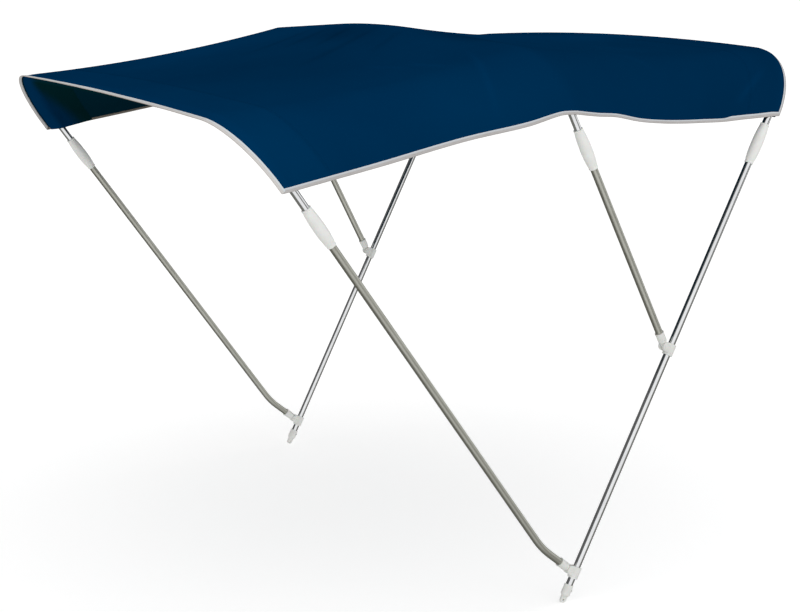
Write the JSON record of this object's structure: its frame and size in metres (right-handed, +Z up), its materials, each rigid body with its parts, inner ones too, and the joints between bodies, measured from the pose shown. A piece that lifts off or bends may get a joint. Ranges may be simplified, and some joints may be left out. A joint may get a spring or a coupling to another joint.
{
  "type": "bimini top with tube frame",
  "caption": "Bimini top: a navy canvas canopy with bound edges, stretched over a folding frame of round tube with grip sleeves, hinged knuckles and eye ends that pin to deck hinges.",
  "frame": {"origin": "midway between the pin holes of the two eye ends, where the deck hinges hold the frame", "axes": "+X points aft, +Y to starboard and +Z up; the port side is the one nearer the camera in the picture"},
  "size_m": [1.9071, 1.8648, 1.6669],
  "materials": {
    "canvas": "matte navy marine canvas, tight plain weave",
    "edge_tape": "matte light grey binding tape",
    "polished_tube": "polished and anodised",
    "satin_tube": "satin anodised",
    "nylon_grip": "satin white nylon with moulded ribs",
    "nylon_fitting": "satin white nylon",
    "screw_steel": "dark set screw"
  },
  "bodies": {
    "root": {"front_bow": "polished_tube", "middle_bow": "polished_tube", "main_bow": "polished_tube", "front_leg_port": "satin_tube", "middle_leg_port": "satin_tube", "main_leg_port": "polished_tube", "front_grip_port": "nylon_grip", "middle_grip_port": "nylon_grip", "main_grip_port": "nylon_grip", "lower_slide_port": "nylon_fitting", "lower_pivot_pin_port": "nylon_fitting", "lower_leg_end_port": "nylon_fitting", "upper_slide_port": "nylon_fitting", "upper_pivot_pin_port": "nylon_fitting", "upper_leg_end_port": "nylon_fitting", "eye_end_port": "nylon_fitting", "set_screw_port": "screw_steel", "front_leg_starboard": "satin_tube", "middle_leg_starboard": "satin_tube", "main_leg_starboard": "polished_tube", "front_grip_starboard": "nylon_grip", "middle_grip_starboard": "nylon_grip", "main_grip_starboard": "nylon_grip", "lower_slide_starboard": "nylon_fitting", "lower_pivot_pin_starboard": "nylon_fitting", "lower_leg_end_starboard": "nylon_fitting", "upper_slide_starboard": "nylon_fitting", "upper_pivot_pin_starboard": "nylon_fitting", "upper_leg_end_starboard": "nylon_fitting", "eye_end_starboard": "nylon_fitting", "set_screw_starboard": "screw_steel", "canopy": "canvas", "front_pocket": "canvas", "rear_pocket": "canvas", "front_binding": "edge_tape", "rear_binding": "edge_tape", "port_binding": "edge_tape", "starboard_binding": "edge_tape"}
  },
  "joints": []
}
